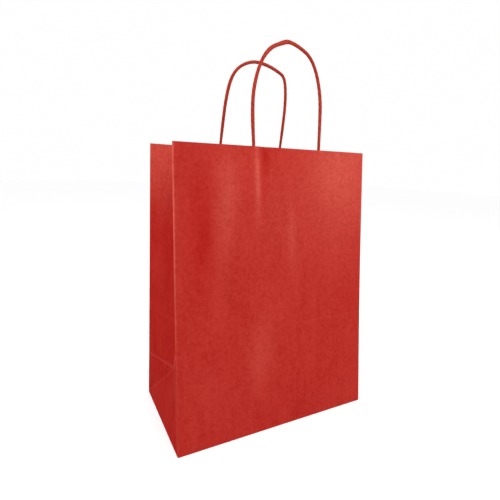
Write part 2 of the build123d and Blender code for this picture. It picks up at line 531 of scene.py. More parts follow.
@dataclass(frozen=True)
class Finishes:
    """Every finish of the bag, built once and shared."""

    red_outside: bpy.types.Material
    white_inside: bpy.types.Material
    cut_edge: bpy.types.Material
    patch: bpy.types.Material
    cord: bpy.types.Material

    @classmethod
    def build(cls) -> "Finishes":
        """Make the materials.

        Returns:
            The set of finishes.
        """
        # The red paper's worn colour is also the colour of its painted sheen and painted highlights: a lighter, greyer
        # red in place of a reflection.
        red = KraftPaper("red_kraft_outside", (0.250, 0.0062, 0.0040), (0.312, 0.0200, 0.0150),
                         (0.560, 0.135, 0.098))
        white = KraftPaper("white_kraft_inside", (0.700, 0.640, 0.580), (0.780, 0.740, 0.690),
                           (0.820, 0.780, 0.740), roughness=(0.6, 0.75), specular=0.25)
        edge = KraftPaper("cut_paper_edge", (0.560, 0.120, 0.095), (0.640, 0.200, 0.170),
                          (0.740, 0.360, 0.320), roughness=(0.7, 0.85), specular=0.2)
        patch = KraftPaper("white_kraft_patch", (0.720, 0.670, 0.610), (0.800, 0.770, 0.720),
                           (0.840, 0.810, 0.770), roughness=(0.62, 0.78), specular=0.22)
        # The cord's groove colour is painted shade deep in its twist.
        cord = TwistedPaper("twisted_red_paper", (0.252, 0.0180, 0.0056), (0.120, 0.0054, 0.0028))
        return cls(red.material(), white.material(), edge.material(), patch.material(),
                   cord.material())

    def bag_layers(self) -> list[bpy.types.Material]:
        """Materials of a bag sheet in the order of Layer."""
        return [self.red_outside, self.white_inside, self.cut_edge]

    def patch_layers(self) -> list[bpy.types.Material]:
        """Materials of a patch strip in the order of Layer."""
        return [self.patch, self.patch, self.patch]


# ---------------------------------------------------------------------------------------------
# Paper sheets
# ---------------------------------------------------------------------------------------------


def smooth(value: float, low: float, high: float) -> float:
    """Smooth step from 0 at low to 1 at high; low may be above high."""
    share = min(1.0, max(0.0, (value - low) / (high - low)))
    return share * share * (3 - 2 * share)


def hump(value: float, centre: float, width: float) -> float:
    """Bell curve of height 1 about a centre."""
    return math.exp(-(((value - centre) / width) ** 2))


def ticks(low: float, high: float, step: float, marks: Sequence[float] = (),
          near: Sequence[float] = (0.0, 0.6 * MM, 1.5 * MM, 3.2 * MM)) -> list[float]:
    """Places for a grid's lines: even steps, with extra lines close to each mark.

    Args:
        low: First place.
        high: Last place.
        step: Even spacing.
        marks: Places such as creases that get closer lines.
        near: Distances from a mark at which lines are added.

    Returns:
        The places in rising order, none closer than a fifth of a millimetre.
    """
    count = max(1, round((high - low) / step))
    places = [low + (high - low) * i / count for i in range(count + 1)]
    wanted = [low, high]
    for mark in marks:
        wanted += [mark + sign * gap for gap in near for sign in (-1, 1)]
    wanted = sorted({round(p, 7) for p in wanted if low <= p <= high})
    kept = [p for p in places if all(abs(p - w) > 0.35 * step for w in wanted)]
    merged: list[float] = []
    for place in sorted(kept + wanted):
        if not merged or place - merged[-1] > 0.2 * MM:
            merged.append(place)
    return merged


def link(name: str, mesh: bpy.types.Mesh) -> bpy.types.Object:
    """Put a mesh into the scene as an object.

    Args:
        name: The object's name.
        mesh: Its mesh.

    Returns:
        The object.
    """
    piece = bpy.data.objects.new(name, mesh)
    bpy.context.scene.collection.objects.link(piece)
    return piece


def store_grain(mesh: bpy.types.Mesh, place: Points, wear: Points) -> None:
    """Write the grain coordinates and the wear with painted light as point attributes.

    Args:
        mesh: The mesh that gets them.
        place: A sheet coordinate for each point, in metres.
        wear: Each point's real rubbing together with its painted highlight and painted shade; on a cord, how deep it
            lies in a groove, which paints shade there. From 0 to 1.
    """
    sheet = mesh.attributes.new("sheet", "FLOAT_VECTOR", "POINT")
    sheet.data.foreach_set("vector", place.astype(np.float32).ravel())
    rubbed = mesh.attributes.new("wear", "FLOAT", "POINT")
    rubbed.data.foreach_set("value", wear.astype(np.float32))


def dress(piece: bpy.types.Object, slot: str, *nodes: str) -> None:
    """Name a piece's material slot and the CAD nodes that it stands for, and report it.

    Args:
        piece: The finished piece.
        slot: The record's material slot.
        nodes: The CAD nodes that the piece replaces.
    """
    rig.slot(piece, slot)
    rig.replaces(piece, *nodes)
    log.info("%s: %d points, %s, stands for %s", piece.name, len(piece.data.vertices), slot,
             ", ".join(nodes))


@dataclass
class SheetGrid:
    """A sheet's outer face: rows by columns of points, grain coordinates, and wear with painted light.

    The rows run up the sheet. The points' turn, columns then rows, is anticlockwise as seen
    from outside.
    """

    points: Points
    place: Points
    wear: Points

    @classmethod
    def sample(cls, rows: Sequence, columns: Sequence, point: Callable[..., Sequence[float]],
               place: Callable[..., Sequence[float]], wear: Callable[..., float]) -> "SheetGrid":
        """Work the grid out from functions of a column and a row.

        Args:
            rows: What tells the rows apart, from the bottom up.
            columns: What tells the columns apart.
            point: Gives a place on the outer face.
            place: Gives its grain coordinates.
            wear: Gives its wear and painted light, from 0 to 1.

        Returns:
            The grid.
        """
        return cls(np.array([[tuple(point(column, row)) for column in columns] for row in rows]),
                   np.array([[tuple(place(column, row)) for column in columns] for row in rows]),
                   np.array([[wear(column, row) for column in columns] for row in rows]))

    def mirrored(self, wanted: bool = True) -> "SheetGrid":
        """Put the columns in the other order, which turns the faces round.

        Args:
            wanted: Whether to do so; a grid that already faces outwards stays as it is.

        Returns:
            The grid.
        """
        if not wanted:
            return self
        return SheetGrid(*(np.flip(a, axis=1) for a in (self.points, self.place, self.wear)))


@dataclass
class PaperSheet:
    """A thin sheet of paper, thickened inwards from its outer face."""

    name: str
    thickness: float
    layers: list[bpy.types.Material]
    sharp: float = math.radians(24)
    weld_gap: float = 0.01 * MM
    shortest_edge: float = 0.001 * MM

    def build(self, grid: SheetGrid, creased: bool = False) -> bpy.types.Object:
        """Make the sheet's closed mesh.

        Args:
            grid: The sheet's outer face.
            creased: Whether a crease runs up from a lower corner, through the cells' corners.

        Returns:
            The piece.
        """
        mesh = bpy.data.meshes.new(self.name)
        mesh.from_pydata([tuple(p) for p in grid.points.reshape(-1, 3)], [],
                         self.faces(grid, creased))
        store_grain(mesh, grid.place.reshape(-1, 3), grid.wear.reshape(-1))
        piece = link(self.name, mesh)
        self.weld(mesh)
        for material in self.layers:
            mesh.materials.append(material)
        shell = piece.modifiers.new("paper", "SOLIDIFY")
        shell.thickness = self.thickness
        shell.offset = -1.0
        shell.material_offset = Layer.INSIDE.value
        shell.material_offset_rim = Layer.CUT_EDGE.value
        self.apply(piece)
        piece.data.shade_smooth()
        piece.data.set_sharp_from_angle(angle=self.sharp)
        return piece

    @staticmethod
    def faces(grid: SheetGrid, creased: bool) -> list[tuple[int, ...]]:
        """Join the grid's points into faces.

        Args:
            grid: The sheet's outer face.
            creased: Whether the cells on the diagonal crease are split along it.

        Returns:
            The faces, as numbers of points.
        """
        rows, columns = grid.points.shape[:2]
        leftwards = grid.place[0, 0, 0] ** 2 > grid.place[0, -1, 0] ** 2
        faces: list[tuple[int, ...]] = []
        for row in range(rows - 1):
            for column in range(columns - 1):
                near, far = row * columns + column, (row + 1) * columns + column
                cell = (near, near + 1, far + 1, far)
                if creased and row == (columns - 2 - column if leftwards else column):
                    turn = 1 if leftwards else 0
                    a, b, c, d = cell[turn:] + cell[:turn]
                    faces += [(a, b, c), (a, c, d)]
                else:
                    faces.append(cell)
        return faces

    def weld(self, mesh: bpy.types.Mesh) -> None:
        """Join points that fall together where a grid closes to a point.

        Args:
            mesh: The mesh, changed in place.
        """
        work = bmesh.new()
        work.from_mesh(mesh)
        bmesh.ops.remove_doubles(work, verts=work.verts, dist=self.weld_gap)
        bmesh.ops.dissolve_degenerate(work, edges=work.edges, dist=self.shortest_edge)
        work.to_mesh(mesh)
        work.free()

    @staticmethod
    def apply(piece: bpy.types.Object) -> None:
        """Turn the modified mesh into the piece's own mesh.

        Args:
            piece: The piece, changed in place.
        """
        graph = bpy.context.evaluated_depsgraph_get()
        flat = bpy.data.meshes.new_from_object(piece.evaluated_get(graph))
        old = piece.data
        piece.modifiers.clear()
        flat.name = old.name
        piece.data = flat
        bpy.data.meshes.remove(old)


# ---------------------------------------------------------------------------------------------
# Walls
# ---------------------------------------------------------------------------------------------


@dataclass(frozen=True)
class Swell:
    """A soft upright ripple in a wall, and the highlight painted along its crest, which is painted shade where its
    amount is below 0.
    """

    across: float
    width: float
    height: float
    middle: float
    reach: float
    # Painted highlight on the crest; below 0, painted shade.
    rubbed: float = 0.0
    lean: float = 0.0
    mouth_share: float = 0.45
    mouth_zone: float = 30 * MM

    def strength(self, across: float, below_mouth: float) -> float:
        """The ripple's share at a place: 1 on the crest, fading up, down and to the sides.

        Args:
            across: Place from the wall's middle.
            below_mouth: Distance down from the mouth edge.

        Returns:
            The share, from 0 to 1.
        """
        along = hump(below_mouth, self.middle, self.reach)
        inwards = smooth(below_mouth, 0.0, self.mouth_zone)
        along *= self.mouth_share + (1 - self.mouth_share) * inwards
        crest = self.across + self.lean * (below_mouth - self.middle)
        return hump(across, crest, self.width) * along

    def lift(self, across: float, below_mouth: float) -> float:
        """How far the ripple stands out of the wall at a place."""
        return self.height * self.strength(across, below_mouth)

    def rub(self, across: float, below_mouth: float) -> float:
        """How much painted highlight the ripple adds to the paper's lightening at a place; below 0 it paints shade."""
        return self.rubbed * self.strength(across, below_mouth)


@dataclass
class WallFrame:
    """Where a main wall stands, read from its CAD node and its hinge."""

    side: Side
    pivot: Vector = field(init=False)
    out: Vector = field(init=False)
    up: Vector = field(init=False)
    face: float = field(init=False)
    length: float = field(init=False)
    half_width: float = field(init=False)

    def __post_init__(self) -> None:
        """Measure the CAD wall."""
        node = frame["nodes"][f"{self.side.word}_wall"]
        self.pivot = Vector(joint_place(f"{self.side.word}_lean"))
        broad = max(node.data.polygons, key=lambda p: p.area)
        self.out = broad.normal.copy()
        if self.out.y * self.side.value < 0:
            self.out.negate()
        self.up = Vector((0, -self.out.z * self.side.value, abs(self.out.y)))
        reach = [v.co - self.pivot for v in node.data.vertices]
        self.face = max(r.dot(self.out) for r in reach)
        self.length = max(r.dot(self.up) for r in reach)
        self.half_width = max(r.x for r in reach)

    def point(self, across: float, up: float, out: float = 0.0) -> Vector:
        """A point by its place on the wall: across, up from the hinge, out from the outer face."""
        place = self.pivot + self.up * up + self.out * (self.face + out)
        return Vector((across, place.y, place.z))

    def height_on(self, z: float) -> float:
        """How far up the wall a level lies."""
        return (z - self.pivot.z) / self.up.z


@dataclass
class WallPanel:
    """One main wall: a sheet that bows a little, with ripples at the mouth and fold marks."""

    where: WallFrame
    swells: Sequence[Swell]
    folded_low: bool
    thickness: float = 0.22 * MM
    sag: float = 2.0 * MM
    edge_sag: float = 0.55
    middle_sag: float = 0.45
    # Painted sheen over the whole wall, stronger towards the top.
    handled: float = 0.09
    edge_radius: float = 0.7 * MM
    fold_mark: float = 54 * MM
    fold_depth: float = 0.8 * MM
    fold_reach: float = 26 * MM
    stack_mark: float = 114 * MM
    stack_depth: float = 0.05 * MM
    cord_legs: tuple[float, float] = (0.0, 0.0)
    cord_press: float = 0.55 * MM
    cord_half_width: float = 3.4 * MM
    cord_reach: float = 52 * MM
    crumple: float = 0.45 * MM
    # Crease wear together with a painted crease highlight.
    edge_rub: float = 0.62
    fold_rub: float = 0.36
    stack_rub: float = 0.04
    lowest: float = 0.1 * MM

    def relief(self, across: float, up: float) -> float:
        """How far the wall's outer face stands out of its flat place.

        Args:
            across: Place from the wall's middle.
            up: Place from the bottom hinge.

        Returns:
            The distance outwards, in metres.
        """
        half, length = self.where.half_width, self.where.length
        share, below = up / length, length - up
        middle = 1 - (across / half) ** 2
        bow = math.sin(math.pi * min(1.0, share)) * (self.edge_sag + self.middle_sag * middle)
        lift = -self.sag * bow
        ripples = sum(swell.lift(across, below) for swell in self.swells)
        lift += ripples * smooth(abs(across), half, 0.8 * half)
        for leg in self.cord_legs:
            pressed = smooth(below, self.cord_reach, 0.45 * self.cord_reach)
            lift += self.cord_press * hump(across, leg, self.cord_half_width) * pressed
        wave = noise.noise(Vector((across * 16, up * 9, 3.1 * self.where.side.value)))
        lift += self.crumple * wave * middle * smooth(share, 0.0, 0.12)
        if self.folded_low:
            lift -= self.fold_depth * max(0.0, 1 - abs(up - self.fold_mark) / self.fold_reach)
        else:
            fades = smooth(across, -40 * MM, 60 * MM)
            lift -= self.stack_depth * hump(up, self.stack_mark, 1.2 * MM) * fades
        return lift

    def wear(self, across: float, up: float) -> float:
        """How far the paper is lightened at a place: worn side creases with a painted highlight, painted highlights
        and painted shade along the crests, fold marks, and painted sheen.

        Args:
            across: Place from the wall's middle.
            up: Place from the bottom hinge.

        Returns:
            The amount, at most 1; below 0 gives no lightening.
        """
        length = self.where.length
        from_edge = self.where.half_width - abs(across)
        streak = 0.5 + 0.5 * noise.noise(Vector((up * 40, across * 3, 7.7)))
        # Worn side crease with a painted highlight, stronger higher up the bag.
        rubbed = self.edge_rub * hump(from_edge, 0.3 * MM, 0.9 * MM) * (0.45 + 0.55 * streak)
        rubbed *= 0.12 + 0.88 * self.climb(up)
        # Painted sheen, lighter towards the top of the wall.
        rubbed += self.handled * (0.72 + 0.28 * smooth(up / length, 0.3, 0.8))
        # Painted highlights along the ripples' crests, and painted shade where a ripple's amount is below 0.
        rubbed += sum(swell.rub(across, length - up) for swell in self.swells)
        if self.folded_low:
            rubbed += self.fold_rub * hump(up, self.fold_mark, 0.7 * MM)
        fades = smooth(across, -60 * MM, 80 * MM)
        rubbed += self.stack_rub * hump(up, self.stack_mark, 1.0 * MM) * fades
        return min(1.0, rubbed)

    @staticmethod
    def climb(up: float) -> float:
        """Share of a side crease's full lightening, which grows up the bag: the crease wear carries a painted
        highlight that is stronger higher up.
        """
        return smooth(up, 50 * MM, 230 * MM)

    def build(self, finishes: Finishes) -> bpy.types.Object:
        """Make the wall and let it ride on its panel body.

        Args:
            finishes: The bag's materials.

        Returns:
            The piece.
        """
        where = self.where
        grid = SheetGrid.sample(
            self.rows(), self.columns(),
            point=lambda column, up: where.point(column[0], up,
                                                 self.relief(column[0], up) - column[1]),
            place=lambda column, up: (column[0], up, where.side.value),
            wear=lambda column, up: self.wear(column[0], up))
        sheet = PaperSheet(f"{where.side.word}_wall_sheet", self.thickness, finishes.bag_layers())
        piece = sheet.build(grid.mirrored(where.side is Side.BACK))
        dress(piece, "bag_paper", f"{where.side.word}_wall")
        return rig.ride(piece, where.side.panel)

    def columns(self) -> list[tuple[float, float]]:
        """The grid's upright lines, with the round creases at both sides.

        Returns:
            For each line its place across, and how far the crease's bend takes it inwards.
        """
        radius = self.edge_radius
        flat = self.where.half_width - radius
        turns = [math.radians(a) for a in (15, 30, 45, 60, 75, 90)]
        bend = [(flat + radius * math.sin(t), radius * (1 - math.cos(t))) for t in turns]
        middle = ticks(-flat, flat, 3.0 * MM, (*self.cord_legs, -flat, flat))
        return [(-x, inwards) for x, inwards in reversed(bend)] + [(x, 0.0) for x in middle] + bend

    def rows(self) -> list[float]:
        """Heights of the grid's lines, shared with the gussets so that their edges meet."""
        return ticks(self.lowest, self.where.length, 4.5 * MM,
                     (self.lowest, self.fold_mark, self.stack_mark, self.where.length))

    def side_edge(self, flank: Flank, up: float) -> Vector:
        """Point on the side crease where the gusset takes over."""
        across = flank.value * self.where.half_width
        return self.where.point(across, up, self.relief(across, up) - self.edge_radius)


# ---------------------------------------------------------------------------------------------
# Gussets
# ---------------------------------------------------------------------------------------------


@dataclass(frozen=True)
class GussetMarks:
    """Corners of half a gusset's outer face."""

    foot: Vector
    tip: Vector
    top: Vector
    low: Vector
    high: Vector


@dataclass
class GussetHalf:
    """Half of a side gusset: from a wall's side crease to the centre fold, with its heel half."""

    wall: WallPanel
    flank: Flank
    thickness: float = 0.22 * MM
    half_depth: float = 60 * MM
    belly: float = 2.2 * MM
    crumple: float = 0.35 * MM
    side_rub: float = 0.30
    centre_rub: float = 0.40
    heel_rub: float = 0.08
    fold_rub: float = 0.13
    stack_rub: float = 0.03
    # Painted light that lightens the gusset towards its top.
    mouth_rub: float = 0.24
    mouth_zone: float = 110 * MM

    def marks(self) -> GussetMarks:
        """Find the half's corners from the CAD facets and the wall's side crease.

        Returns:
            The foot of the centre line, the heel's tip, the centre fold's top, and the side
            crease's two ends.
        """
        name = f"{self.flank.word}_gusset_"
        facets = [frame["nodes"][name + n].data.vertices for n in ("heel", "front_fold")]
        heel, fold = ([v.co.copy() for v in vertices] for vertices in facets)
        outward = self.flank.value
        inmost = max(fold, key=lambda p: (-p.x * outward, p.z))
        top = max((p for p in fold if abs(p.x - inmost.x) < 0.6 * MM), key=lambda p: p.z)
        tip = max(heel, key=lambda p: p.z)
        foot = Vector((outward * self.wall.where.half_width, 0.0, min(p.z for p in heel)))
        return GussetMarks(foot, tip, top, self.wall.side_edge(self.flank, self.wall.lowest),
                           self.wall.side_edge(self.flank, self.wall.where.length))

    def build(self, finishes: Finishes) -> bpy.types.Object:
        """Make the half and let it bend between its wall and the base.

        Args:
            finishes: The bag's materials.

        Returns:
            The piece.
        """
        marks = self.marks()
        side, depth = self.wall.where.side, self.half_depth
        acrosses = ticks(0.0, depth, 2.6 * MM, (0.0, self.wall.fold_mark, 0.95 * depth, depth),
                         (0.0, 0.6 * MM, 1.5 * MM))
        ups = acrosses + [u for u in self.wall.rows() if u > depth + 0.1 * MM]
        grid = SheetGrid.sample(ups, acrosses, lambda across, up: self.spot(across, up, marks),
                                self.coords, self.wear)
        grid = grid.mirrored((side is Side.FRONT) != (self.flank is Flank.RIGHT))
        name = f"{self.flank.word}_gusset_{side.word}"
        sheet = PaperSheet(f"{name}_sheet", self.thickness, finishes.bag_layers())
        piece = sheet.build(grid, creased=True)
        nodes = [f"{name}_edge", f"{name}_fold"]
        if side is Side.FRONT:
            nodes.append(f"{self.flank.word}_gusset_heel")
        dress(piece, "bag_paper", *nodes)
        start, end = self.bend_span(marks)
        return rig.blend(piece, side.panel, "base", start=start, end=end)

    def spot(self, across: float, up: float, marks: GussetMarks) -> Vector:
        """Where a place of the flat sheet stands on the gusset.

        Args:
            across: Distance from the side crease.
            up: Height on the sheet.
            marks: The half's corners.

        Returns:
            The point on the gusset's outer face.
        """
        foot, tip, low, high = marks.foot, marks.tip, marks.low, marks.high
        share = across / self.half_depth
        if up <= across:
            return low + (foot - low) * share + (tip - foot) * (up / self.half_depth)
        length = self.wall.where.length
        rise = (up - across) / (length - across)
        start = low + (tip - low) * share
        end = high + (marks.top - high) * share
        edge_up = max(self.wall.lowest, up)
        bow = self.wall.side_edge(self.flank, edge_up) - (low + (high - low) * (edge_up / length))
        swell = math.sin(math.pi * share) * math.sin(math.pi * rise)
        wave = noise.noise(Vector((across * 30, up * 12,
                                   5.0 * self.flank.value + self.wall.where.side.value)))
        outwards = (self.belly - self.crumple * wave) * swell * self.flank.value
        return start + (end - start) * rise + bow * (1 - share) ** 2 + Vector((outwards, 0, 0))

    @staticmethod
    def bend_span(marks: GussetMarks) -> tuple[Vector, Vector]:
        """Where the half stops following its wall and where it follows only the base.

        The share of the way is 0 all along the side crease and 1 all along the centre fold.

        Args:
            marks: The half's corners.

        Returns:
            A point on the side crease and the point across from it, square to equal shares.
        """
        ends = (marks.low, marks.high, marks.tip, marks.top)
        rows = np.array([(*p, 1.0) for p in ends])
        slope = np.linalg.solve(rows, np.array((0.0, 0.0, 1.0, 1.0)))[:3]
        direction = Vector(slope / (slope @ slope))
        return marks.low, marks.low + direction

    def coords(self, across: float, up: float) -> tuple[float, float, float]:
        """Grain coordinates, carried on round the sheet from the wall."""
        half = self.wall.where.half_width + across
        return (self.flank.value * half, up, float(self.wall.where.side.value))

    def wear(self, across: float, up: float) -> float:
        """How far the paper is lightened: worn side crease with a painted highlight, centre fold, heel creases, and
        painted light that makes the gusset lighter towards the mouth.

        Args:
            across: Distance from the side crease.
            up: Height on the sheet.

        Returns:
            The amount, from 0 to 1.
        """
        depth, wall = self.half_depth, self.wall
        # Worn side crease with a painted highlight, stronger higher up the bag.
        rubbed = self.side_rub * hump(across, 0.0, 0.8 * MM) * (0.1 + 0.9 * wall.climb(up))
        if up > depth:
            rubbed += self.centre_rub * hump(across, depth, 0.8 * MM)
        if up <= depth + MM:
            rubbed += self.heel_rub * hump((up - across) / math.sqrt(2), 0.0, 0.7 * MM)
        if wall.folded_low:
            fold = wall.fold_mark + (depth - wall.fold_mark) * across / depth
            rubbed += self.fold_rub * hump(up, fold, 1.3 * MM)
        rubbed += self.stack_rub * hump(up, wall.stack_mark, 1.0 * MM)
        # Painted light: the gusset is lighter towards the top.
        rubbed += self.mouth_rub * smooth(wall.where.length - up, self.mouth_zone, 0.0)
        return min(1.0, rubbed)


# ---------------------------------------------------------------------------------------------
# Bottom
# ---------------------------------------------------------------------------------------------


class FlapLine(NamedTuple):
    """One line across a bottom flap."""

    number: int
    y: float
    z: float
    half: float


@dataclass
class BottomFlap:
    """A long bottom flap, with the rounded bend that turns up into its wall."""

    where: WallFrame
    thickness: float = 0.2 * MM
    step: float = 4 * MM
    spans: int = 60
    bend_rub: float = 0.45
    end_rub: float = 0.25

    def build(self, finishes: Finishes) -> bpy.types.Object:
        """Make the flap and its bend.

        Args:
            finishes: The bag's materials.

        Returns:
            The piece.
        """
        side, pivot, radius = self.where.side, self.where.pivot, self.where.face
        node = f"bottom_{side.word}_flap"
        low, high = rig.box(node)
        bends = [math.radians(a) for a in (8, 20, 32, 44, 56, 68, 80, 90)]
        lines = [(pivot.y + side.value * radius * math.cos(a), pivot.z - radius * math.sin(a),
                  high.x) for a in bends]
        for inset in ticks(0.0, (high.y - low.y) - radius, self.step)[1:]:
            lines.append((pivot.y - side.value * inset, low.z, high.x - inset))
        rows = [FlapLine(number, *line) for number, line in enumerate(lines)]
        grid = SheetGrid.sample(
            rows, [i / self.spans * 2 - 1 for i in range(self.spans + 1)],
            point=lambda share, row: (share * row.half, row.y, row.z),
            place=lambda share, row: (share * row.half, -abs(row.y - pivot.y), 9.0 * side.value),
            wear=lambda share, row: (self.bend_rub * hump(row.number, 4, 3.0)
                                     + self.end_rub * hump(1 - abs(share), 0.0, 0.02)))
        sheet = PaperSheet(f"{node}_sheet", self.thickness, finishes.bag_layers())
        piece = sheet.build(grid.mirrored(side is Side.FRONT))
        dress(piece, "bag_paper", node)
        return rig.ride(piece, "base")


@dataclass
class SideTuck:
    """The folded-in lower end of a gusset, lying on the two flaps inside the bag."""

    flank: Flank
    thickness: float = 0.2 * MM
    step: float = 5 * MM
    lift: float = 0.5 * MM
    rub: float = 0.15

    def build(self, finishes: Finishes) -> bpy.types.Object:
        """Make the tuck.

        Args:
            finishes: The bag's materials.

        Returns:
            The piece.
        """
        node = f"bottom_{self.flank.word}_tuck"
        low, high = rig.box(node)
        inner = low.x if self.flank is Flank.RIGHT else high.x
        grid = SheetGrid.sample(
            ticks(low.y, high.y, self.step), ticks(low.x, high.x, self.step),
            point=lambda x, y: (x, y, low.z + self.curl(abs(x - inner))),
            place=lambda x, y: (y, x, 20.0 * self.flank.value),
            wear=lambda x, y: self.rub * hump(abs(x - inner), 0.0, 1.0 * MM))
        sheet = PaperSheet(f"{node}_sheet", self.thickness, finishes.bag_layers())
        piece = sheet.build(grid.mirrored())
        dress(piece, "bag_paper", node)
        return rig.ride(piece, "base")

    def curl(self, from_edge: float) -> float:
        """How far the tuck's free edge has sprung up."""
        return self.lift * smooth(from_edge, 16 * MM, 0.0)


@dataclass
class SeamFlap:
    """The glued flap that closes the sheet into a tube, inside the back wall."""

    wall: WallPanel
    thickness: float = 0.2 * MM
    glue: float = 0.03 * MM
    rub: float = 0.2

    def build(self, finishes: Finishes) -> bpy.types.Object:
        """Make the flap against the wall's inner face.

        Args:
            finishes: The bag's materials.

        Returns:
            The piece.
        """
        low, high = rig.box("side_seam_flap")
        wall, where = self.wall, self.wall.where
        base, top = where.height_on(low.z), where.height_on(high.z)
        grid = SheetGrid.sample(
            ticks(base, top, 5 * MM), ticks(low.x, high.x, 3 * MM),
            point=lambda x, up: where.point(x, up, wall.relief(x, up) - wall.thickness - self.glue),
            place=lambda x, up: (x, up, 31.0),
            wear=lambda x, up: self.rub * hump(x - low.x, 0.0, 0.8 * MM))
        sheet = PaperSheet("side_seam_flap_sheet", self.thickness,
                           [finishes.white_inside, finishes.white_inside, finishes.cut_edge])
        piece = sheet.build(grid.mirrored())
        dress(piece, "bag_paper", "side_seam_flap")
        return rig.ride(piece, where.side.panel)


# ---------------------------------------------------------------------------------------------
# Handles
# ---------------------------------------------------------------------------------------------


def distances(line: Points) -> Points:
    """How far along a line each of its points lies.

    Args:
        line: The line's points.

    Returns:
        The distances, the first of them 0.
    """
    return np.concatenate([[0], np.cumsum(np.linalg.norm(np.diff(line, axis=0), axis=1))])


@dataclass
class HandlePatches:
    """The two paper strips that hold a handle's cord ends to the wall."""

    wall: WallPanel
    cord_radius: float
    thickness: float = 0.2 * MM
    glue: float = 0.03 * MM
    slack: float = 0.06 * MM
    skirt: float = 2.6 * MM
    rub: float = 0.3

    def build(self, finishes: Finishes) -> list[bpy.types.Object]:
        """Make the flat outer strip and the inner one that is formed over the cord ends.

        Args:
            finishes: The bag's materials.

        Returns:
            The two pieces.
        """
        return [self.strip(layer, finishes) for layer in Strip]

    def strip(self, layer: Strip, finishes: Finishes) -> bpy.types.Object:
        """Make one strip.

        Args:
            layer: Which of the two it is.
            finishes: The bag's materials.

        Returns:
            The piece.
        """
        wall, where, side = self.wall, self.wall.where, self.wall.where.side
        formed = layer is Strip.INNER
        node = f"{side.word}_{layer.value}_patch"
        low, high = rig.box(node)
        base, top = where.height_on(low.z), where.height_on(high.z)
        trim = 0.3 * MM if formed else 0.1 * MM
        ups = ticks(base + trim, top - trim, 2.4 * MM)
        marks = [x for leg in wall.cord_legs for x in (leg - 3 * MM, leg, leg + 3 * MM)]
        xs = ticks(low.x, high.x, 3 * MM, marks, (0.0, 0.7 * MM, 1.4 * MM, 2.1 * MM))
        gap = wall.thickness + self.glue + (self.thickness + self.glue if formed else 0.0)
        number = 40.0 + 3 * side.value + formed

        def point(x: float, up: float) -> Vector:
            """A point on the strip's face toward the wall."""
            over_cord = self.bulge(x, up - base) if formed else 0
            return where.point(x, up, wall.relief(x, up) - gap - over_cord)

        def wear(x: float, up: float) -> float:
            """Wear along the strip's cut edges."""
            edge = min(x - low.x, high.x - x, up - ups[0], ups[-1] - up)
            return self.rub * hump(edge, 0.0, 0.8 * MM)

        grid = SheetGrid.sample(ups, xs, point, lambda x, up: (x, up, number), wear)
        sheet = PaperSheet(f"{node}_strip", self.thickness, finishes.patch_layers(),
                           sharp=math.radians(50))
        piece = sheet.build(grid.mirrored(side is Side.BACK))
        dress(piece, "patch_paper", node)
        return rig.ride(piece, side.panel)

    def bulge(self, across: float, up: float) -> float:
        """How far the inner strip is pushed into the bag where it passes over a cord end.

        Args:
            across: Place from the wall's middle.
            up: Height above the strip's lower edge.

        Returns:
            The distance inwards, in metres.
        """
        radius = self.cord_radius + self.slack
        best = 0.0
        for leg in self.wall.cord_legs:
            off = abs(across - leg)
            if off < radius:
                height = radius + math.sqrt(radius * radius - off * off)
            else:
                height = radius * smooth(off, radius + self.skirt, radius)
            best = max(best, height)
        return best * smooth(up, 0.8 * MM, 4.2 * MM)


